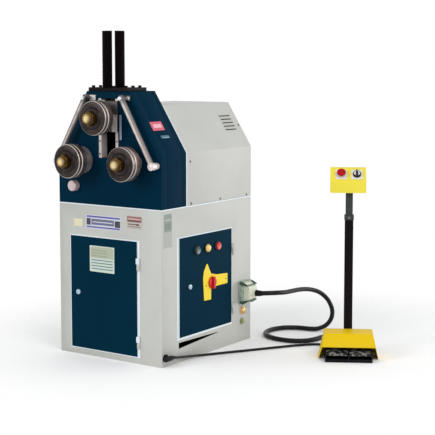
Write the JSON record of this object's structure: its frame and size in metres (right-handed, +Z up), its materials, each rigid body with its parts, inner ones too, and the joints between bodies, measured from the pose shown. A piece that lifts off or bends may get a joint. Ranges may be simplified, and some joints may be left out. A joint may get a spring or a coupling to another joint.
{
  "type": "ring roller",
  "caption": "Floor-standing section bending machine with ring rolls on its head's front, a lifting upper roll, a cabinet with doors, and a cabled foot pedal with a control post.",
  "frame": {"origin": "centre of the cabinet's footprint, on the floor", "axes": "+X to the machine's right seen from the front, -Y to the front where the rolls are, +Z up"},
  "size_m": [1.2942, 1.2171, 1.455],
  "materials": {
    "cabinet_paint": "satin pale grey powder coat",
    "head_paint": "satin dark blue-green paint",
    "door_paint": "satin dark blue-green paint",
    "black_paint": "satin black paint",
    "chrome": "bright plated",
    "steel": "machined steel",
    "roll_steel": "oiled dark hardened steel",
    "brass": "machined brass",
    "motor_paint": "machine paint",
    "grey_plastic": "light grey moulded housing",
    "black_plastic": "matte black moulded",
    "yellow_paint": "satin yellow paint",
    "red_plastic": "gloss red",
    "green_plastic": "gloss green",
    "cable_rubber": "matte black sheath"
  },
  "bodies": {
    "machine": {"base_plate": "black_paint", "cabinet_front": "cabinet_paint", "cabinet_right": "cabinet_paint", "cabinet_left": "cabinet_paint", "rear_panel": "cabinet_paint", "deck_plate": "cabinet_paint", "head_front_plate": "head_paint", "head_rear_plate": "head_paint", "head_cover_left": "head_paint", "head_cover_right": "head_paint", "rear_casing_left": "cabinet_paint", "rear_casing_right": "cabinet_paint", "top_flange": "black_paint", "slotted_tube": "black_paint", "gib_left": "steel", "gib_right": "steel", "lift_cylinder": "roll_steel", "gear_motor": "motor_paint", "hydraulic_power_unit": "motor_paint", "guide_bar_left": "steel", "guide_bar_right": "steel", "support_peg": "steel", "connector_base": "grey_plastic", "connector_hood": "grey_plastic", "cable_gland": "black_plastic", "pedal_cable": "cable_rubber", "thin_cable": "cable_rubber", "pedestal_frame": "black_paint", "pedal_housing": "black_plastic", "pedal_hood": "yellow_paint"},
    "front_door_body": {"front_door": "door_paint"},
    "front_latch_body": {"front_door_latch": "chrome"},
    "side_door_body": {"side_door": "door_paint"},
    "side_latch_body": {"side_door_latch": "chrome"},
    "start_button_body": {"start_button": "green_plastic"},
    "halt_button_body": {"halt_button": "red_plastic"},
    "switch_body": {"switch_handle": "red_plastic"},
    "slide_body": {"slide_block": "steel", "stop_spindle": "steel"},
    "upper_roll_body": {"upper_shaft": "steel", "upper_roll_front": "roll_steel", "upper_roll_rear": "roll_steel", "upper_roll_nut": "brass"},
    "left_roll_body": {"left_shaft": "steel", "left_roll_front": "roll_steel", "left_roll_rear": "roll_steel", "left_roll_nut": "brass", "left_gear": "steel"},
    "right_roll_body": {"right_shaft": "steel", "right_roll_front": "roll_steel", "right_roll_rear": "roll_steel", "right_roll_nut": "brass", "right_gear": "steel"},
    "pinion_body": {"drive_pinion": "steel"},
    "pedal_left_body": {"pedal_left": "black_plastic"},
    "pedal_right_body": {"pedal_right": "black_plastic"},
    "post_body": {"post_upper": "black_paint", "control_box": "yellow_paint"},
    "stop_button_body": {"stop_button": "red_plastic"},
    "selector_body": {"selector_knob": "black_plastic"}
  },
  "joints": [
    {"name": "front_door_hinge", "type": "hinge", "parent": "machine", "child": "front_door_body", "pos_m": [0.166, -0.3573, 0.286], "axis": [0, 0, 1], "range_deg": [0, 110]},
    {"name": "front_latch_turn", "type": "hinge", "parent": "front_door_body", "child": "front_latch_body", "pos_m": [-0.177, -0.357, 0.286], "axis": [0, -1, 0], "range_deg": [0, 90]},
    {"name": "side_door_hinge", "type": "hinge", "parent": "machine", "child": "side_door_body", "pos_m": [0.2973, 0.191, 0.33], "axis": [0, 0, 1], "range_deg": [0, 100]},
    {"name": "side_latch_turn", "type": "hinge", "parent": "side_door_body", "child": "side_latch_body", "pos_m": [0.296, -0.15, 0.326], "axis": [1, 0, 0], "range_deg": [0, 90]},
    {"name": "start_push", "type": "slide", "parent": "side_door_body", "child": "start_button_body", "axis": [-1, 0, 0], "range_m": [0, 0.004], "stiffness_N_per_m": 600},
    {"name": "halt_push", "type": "slide", "parent": "side_door_body", "child": "halt_button_body", "axis": [-1, 0, 0], "range_m": [0, 0.004], "stiffness_N_per_m": 600},
    {"name": "switch_turn", "type": "hinge", "parent": "side_door_body", "child": "switch_body", "pos_m": [0.3, 0.02, 0.321], "axis": [1, 0, 0], "range_deg": [0, 90]},
    {"name": "slide_lift", "type": "slide", "parent": "machine", "child": "slide_body", "axis": [0, 0, 1], "range_m": [-0.115, 0.008]},
    {"name": "upper_spin", "type": "hinge", "parent": "slide_body", "child": "upper_roll_body", "pos_m": [0, -0.4, 1.078], "axis": [0, 1, 0], "continuous": true},
    {"name": "right_spin", "type": "hinge", "parent": "machine", "child": "right_roll_body", "pos_m": [0.15, -0.3, 0.885], "axis": [0, 1, 0], "continuous": true},
    {"name": "left_spin", "type": "hinge", "parent": "machine", "child": "left_roll_body", "pos_m": [-0.15, -0.3, 0.885], "axis": [0, 1, 0], "continuous": true},
    {"name": "pinion_spin", "type": "hinge", "parent": "machine", "child": "pinion_body", "pos_m": [0, -0.13, 0.885], "axis": [0, 1, 0], "continuous": true},
    {"name": "pedal_left_press", "type": "hinge", "parent": "machine", "child": "pedal_left_body", "pos_m": [0.8002, 0.28319, 0.05], "axis": [0.866, 0.5, 0], "range_deg": [0, 7], "stiffness_Nm_per_rad": 20, "springref_deg": -2.86},
    {"name": "pedal_right_press", "type": "hinge", "parent": "machine", "child": "pedal_right_body", "pos_m": [0.8868, 0.33319, 0.05], "axis": [0.866, 0.5, 0], "range_deg": [0, 7], "stiffness_Nm_per_rad": 20, "springref_deg": -2.86},
    {"name": "post_slide", "type": "slide", "parent": "machine", "child": "post_body", "axis": [0, 0, 1], "range_m": [0, 0.15]},
    {"name": "stop_push", "type": "slide", "parent": "post_body", "child": "stop_button_body", "axis": [-0.3597, 0.623, -0.6946], "range_m": [0, 0.005], "stiffness_N_per_m": 800, "springref_m": -0.002},
    {"name": "selector_turn", "type": "hinge", "parent": "post_body", "child": "selector_body", "pos_m": [0.85008, 0.36279, 0.816], "axis": [0.3597, -0.623, 0.6946], "range_deg": [-45, 45]}
  ],
  "couplings": [
    {"joint": "left_spin", "follows": "right_spin", "ratio": 1},
    {"joint": "pinion_spin", "follows": "right_spin", "ratio": -2.125}
  ]
}
